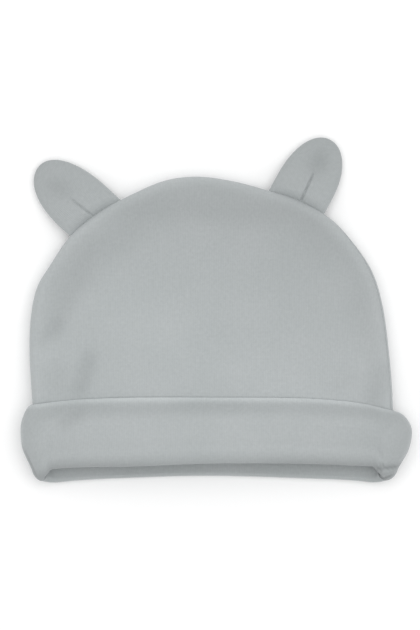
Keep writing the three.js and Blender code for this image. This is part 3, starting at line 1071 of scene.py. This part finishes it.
# %% Dye
PATCHES = {"Detail": 5.0, "Roughness": 0.7}
MOTTLE = {"Scale": 640.0, "Detail": 4.0, "Roughness": 0.7}
# Each factor is a range and the value that it starts from.
SHADES = dict(
    slow=(0.13, 0.935),
    mottle=(0.26, 0.87),
    rib=(0.06, 0.965),
    # ridge is a painted highlight and hollow is painted shade.
    ridge=(0.10, 1.0),
    hollow=(-0.10, 1.0),
)
# Painted shade: the colour is darkened towards the dome.
FADE = dict(start=-24 * MM, end=80 * MM, by=0.21)


def fade_to_dome(node, place, across):
    """1 at the mouth, less towards the dome; across turns the fade's direction to the right."""
    height = node("ShaderNodeVectorMath", {0: place, 1: (across, 1, 0)}, operation="DOT_PRODUCT")
    limits = {"From Min": FADE["start"], "From Max": FADE["end"]}
    limits |= {"To Min": 1.0, "To Max": 1 - FADE["by"]}
    reading = {"Value": height.outputs["Value"], **limits}
    return node("ShaderNodeMapRange", reading).outputs["Result"]


def dye_and_painted_light(node, cloth, slow, knit, fade):
    """All the factors multiplied."""
    maths = maths_maker(node)
    wires = dict(slow=slow, mottle=noise_fac(node, cloth, MOTTLE), rib=knit)
    for name in ("ridge", "hollow"):
        wires[name] = node("ShaderNodeAttribute", attribute_name=name).outputs["Fac"]
    shade = {name: maths("MULTIPLY_ADD", wire, *SHADES[name]) for name, wire in wires.items()}
    patchy = maths("MULTIPLY", shade["slow"], shade["mottle"])
    raised = maths("MULTIPLY", shade["rib"], shade["ridge"])
    faded = maths("MULTIPLY", maths("MULTIPLY", patchy, raised), fade)
    return maths("MULTIPLY", faded, shade["hollow"])


print("fade towards the dome, share:", FADE["by"])

# %% [markdown]
# ## Cotton interlock: the finished cloth
#
# The shader is rough, with little gloss, and sheen stands for the brushed nap, which catches light at a
# slant. The crown and the cuff are cut from one cloth. The ears lie low beside the dome and would look
# too dark, so their copy of the cloth is painted paler, as painted light, and its painted darkening
# towards the dome runs straight up rather than turned to the right. Each has its own patches.

# %% Fabric material
COTTON = (0.392, 0.423, 0.425)
COTTON_PALE = (0.411, 0.429, 0.435)
# Painted light: the ears' copy of the cloth is made paler.
EAR_PAINTED_PALER = 1.1
FADE_ACROSS = 0.35
SHEEN_TINT = (0.95, 0.98, 1.0, 1)


def fabric(name, colour, patch_scale, fade_across=FADE_ACROSS):
    """Cotton interlock of one colour; a larger patch_scale gives smaller patches of dye."""
    material = bpy.data.materials.new(name)
    material.use_nodes = True
    tree = material.node_tree
    shader = tree.nodes["Principled BSDF"]
    shader.inputs["Roughness"].default_value = 0.92
    shader.inputs["Specular IOR Level"].default_value = 0.22
    shader.inputs["Sheen Weight"].default_value = 0.4
    shader.inputs["Sheen Roughness"].default_value = 0.4
    shader.inputs["Sheen Tint"].default_value = SHEEN_TINT
    node = node_maker(tree)
    cloth = node("ShaderNodeUVMap", uv_map="cloth").outputs["UV"]
    place = node("ShaderNodeTexCoord").outputs["Object"]
    knit = knit_height(node, cloth)
    slow = noise_fac(node, place, {"Scale": patch_scale, **PATCHES})
    shade = dye_and_painted_light(node, cloth, slow, knit, fade_to_dome(node, place, fade_across))
    tone = node("ShaderNodeMix", {"Factor": slow, "A": colour, "B": COTTON_PALE}, data_type="VECTOR")
    base = node("ShaderNodeVectorMath", {0: tone.outputs["Result"], "Scale": shade}, operation="SCALE")
    tree.links.new(base.outputs[0], shader.inputs["Base Color"])
    tree.links.new(knit_normal(node, cloth, knit), shader.inputs["Normal"])
    print(name, "nodes:", len(tree.nodes))
    return material


EAR_COTTON_PAINTED_PALER = tuple(EAR_PAINTED_PALER * c for c in COTTON)
fabrics = {
    "interlock_crown": fabric("interlock_crown", COTTON, 22.0),
    "interlock_cuff": fabric("interlock_cuff", COTTON, 23.0),
    "interlock_ear": fabric("interlock_ear", EAR_COTTON_PAINTED_PALER, 24.0, fade_across=0.0),
}

# %% [markdown]
# ## Seam threads
#
# Front and back are joined by a chain of short stitches. From outside only their tops glint at the
# bottom of the seam groove. They repeat along one path, so a small node tree lays them: the groove's
# path becomes a curve, one stitch is set at every pitch and turned along it, and a fixed seed
# gives each a slightly different lie.

# %% Stitch tree
STITCH = {"Pitch": 1.7 * MM, "Stitch length": 1.5 * MM, "Thread radius": 0.16 * MM, "Lean": 0.22}
STITCH_SEED = 7
STITCH_BALL = {"Segments": 10, "Rings": 8, "Radius": 1.0}  # drawn out to a stitch's length below


def stitch_tree(material):
    """A node group that lays stitches along a path of edges; its sizes are inputs, in metres."""
    tree = bpy.data.node_groups.new("stitch_row", "GeometryNodeTree")
    tree.interface.new_socket("Geometry", in_out="INPUT", socket_type="NodeSocketGeometry")
    for name in STITCH:
        tree.interface.new_socket(name, in_out="INPUT", socket_type="NodeSocketFloat")
    tree.interface.new_socket("Seed", in_out="INPUT", socket_type="NodeSocketInt")
    tree.interface.new_socket("Geometry", in_out="OUTPUT", socket_type="NodeSocketGeometry")

    node = node_maker(tree)
    given = node("NodeGroupInput").outputs
    path = node("GeometryNodeMeshToCurve", {"Mesh": given["Geometry"]})
    places = node(
        "GeometryNodeResampleCurve", {"Curve": path.outputs[0], "Length": given["Pitch"]}, mode="LENGTH"
    )
    lean = node("FunctionNodeRandomValue", {"Seed": given["Seed"]}, data_type="FLOAT_VECTOR")
    lean.inputs[0].default_value = (-1, -1, -1)
    lean.inputs[1].default_value = (1, 1, 1)
    lean_by = {0: lean.outputs[0], "Scale": given["Lean"]}
    leaning = node("ShaderNodeVectorMath", lean_by, operation="SCALE")
    tangent = node("GeometryNodeInputTangent").outputs[0]
    along = node("ShaderNodeVectorMath", {0: tangent, 1: leaning.outputs[0]}, operation="ADD")
    turned = node("FunctionNodeAlignRotationToVector", {"Vector": along.outputs[0]}, axis="Z")
    half = node("ShaderNodeMath", {0: given["Stitch length"], 1: 0.5}, operation="MULTIPLY")
    ball = node("GeometryNodeMeshUVSphere", STITCH_BALL)
    radius = given["Thread radius"]
    size = node("ShaderNodeCombineXYZ", {0: radius, 1: radius, 2: half.outputs[0]})
    stitch = node("GeometryNodeTransform", {"Geometry": ball.outputs[0], "Scale": size.outputs[0]})
    row = node(
        "GeometryNodeInstanceOnPoints",
        {"Points": places.outputs[0], "Instance": stitch.outputs[0], "Rotation": turned.outputs[0]},
    )
    real = node("GeometryNodeRealizeInstances", {"Geometry": row.outputs[0]})
    shown = node("GeometryNodeSetMaterial", {"Geometry": real.outputs[0], "Material": material})
    node("NodeGroupOutput", {"Geometry": shown.outputs[0]})
    return tree


print("stitches in 100 mm:", round(100 * MM / STITCH["Pitch"]))

# %% [markdown]
# ## The stitches' path
#
# The thread lies at the bottom of the groove between the panels. The path is worked out from the
# same rays as the panels, a little inside their edge, so it follows the groove exactly. It stops
# where the cuff covers the seam.

# %% Path of the stitches
STITCH_DEPTH = 0.32
STITCHES_FROM_Y = -38.0


def seam_path():
    """Points in metres along the bottom of the seam groove, from cuff to cuff over the dome."""
    shown = outline[outline[:, 1] > STITCHES_FROM_Y]
    rays = Rays(shown[:, 0], shown[:, 1], shown[:, 2])
    turn = np.arccos(1 - rays.beyond / FRONT_ROUND)
    outward = -rays.beyond - STITCH_DEPTH * np.cos(turn)
    return rays.at(outward, rays.seam + (FRONT_ROUND - STITCH_DEPTH) * np.sin(turn)) * MM


print("length of the stitched seam, mm:", lengths_along(seam_path() / MM, 0)[-1].round(1))

# %% [markdown]
# ## Spun cotton thread
#
# Sewing cotton is smoother than the knit and shows fine twist lines. A wave texture as bump gives
# them, since the thread is far too thin for modelled strands.

# %% Spun thread
THREAD = dict(darker=0.92, roughness=0.7, sheen=0.2, twist_scale=900.0, twist_uneven=2.0)
THREAD_BUMP = {"Strength": 0.3, "Distance": 0.05 * MM}


def thread_material():
    """Spun cotton: fine twist lines across the thread, a little sheen."""
    material = bpy.data.materials.new("cotton_thread")
    material.use_nodes = True
    tree = material.node_tree
    shader = tree.nodes["Principled BSDF"]
    shader.inputs["Base Color"].default_value = (*(THREAD["darker"] * c for c in COTTON), 1)
    shader.inputs["Roughness"].default_value = THREAD["roughness"]
    shader.inputs["Sheen Weight"].default_value = THREAD["sheen"]
    node = node_maker(tree)
    place = node("ShaderNodeTexCoord").outputs["Object"]
    lines = {"Vector": place, "Scale": THREAD["twist_scale"], "Distortion": THREAD["twist_uneven"]}
    twist = node("ShaderNodeTexWave", lines).outputs["Fac"]
    bump = node("ShaderNodeBump", {"Height": twist, **THREAD_BUMP})
    tree.links.new(bump.outputs[0], shader.inputs["Normal"])
    return material


# %% [markdown]
# ## Lay the stitches
#
# The node tree is set on a carrier of bare edges, its inputs are filled, and the result is taken
# off as a plain mesh. Then the modifier and the carrier are removed, so that only a plain piece
# is left.

# %% Lay the stitches


def lay_stitches(name, path, material):
    """The stitches along a path as one plain mesh."""
    line = bpy.data.meshes.new(name + "_path")
    line.from_pydata(path.tolist(), [(i, i + 1) for i in range(len(path) - 1)], [])
    carrier = bpy.data.objects.new(name + "_path", line)
    bpy.context.scene.collection.objects.link(carrier)
    tree = stitch_tree(material)
    modifier = carrier.modifiers.new("stitches", "NODES")
    modifier.node_group = tree
    inputs = [item for item in tree.interface.items_tree if item.in_out == "INPUT"]
    sockets = {item.name: item.identifier for item in inputs}
    for key, value in {**STITCH, "Seed": STITCH_SEED}.items():
        modifier[sockets[key]] = value
    depsgraph = bpy.context.evaluated_depsgraph_get()
    mesh = bpy.data.meshes.new_from_object(carrier.evaluated_get(depsgraph))
    carrier.modifiers.remove(modifier)
    bpy.data.objects.remove(carrier)
    mesh.name = name
    mesh.shade_smooth()
    piece = bpy.data.objects.new(name, mesh)
    bpy.context.scene.collection.objects.link(piece)
    print(name, "faces:", len(mesh.polygons))
    return piece


seam_threads = lay_stitches("seam_threads", seam_path(), thread_material())

# %% [markdown]
# ## Join the pieces to the frame
#
# Every piece stands for one imported node, which it hides, rides on the hat's single body and gets its
# cloth's material.

# %% Ride and replace
pieces = [
    (front_panel, "crown_front", "interlock_crown"),
    (back_panel, "crown_back", "interlock_crown"),
    (rolled_cuff, "cuff", "interlock_cuff"),
    (ear_pads["ear_left"], "ear_left", "interlock_ear"),
    (ear_pads["ear_right"], "ear_right", "interlock_ear"),
]
for piece, node_name, slot_name in pieces:
    piece.data.materials.append(fabrics[slot_name])
    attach(piece, "root")
    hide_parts(node_name)

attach(seam_threads, "root")
print("pieces on the body:", len(pieces) + 1)

# %% [markdown]
# ## How much cloth each piece takes
#
# The panels and the cuff are sheets of cloth, the panels cut to the dome, and the ears are padded. One
# side of each mesh is measured, as cloth can't gain or lose much of its area when it is sewn and laid.

# %% Measure


def one_side(piece):
    """Area of one side of a cloth piece, in square metres."""
    return sum(polygon.area for polygon in piece.data.polygons) / 2


for piece, *_ in pieces:
    print(piece.name, "one side, square metres:", round(one_side(piece), 5))
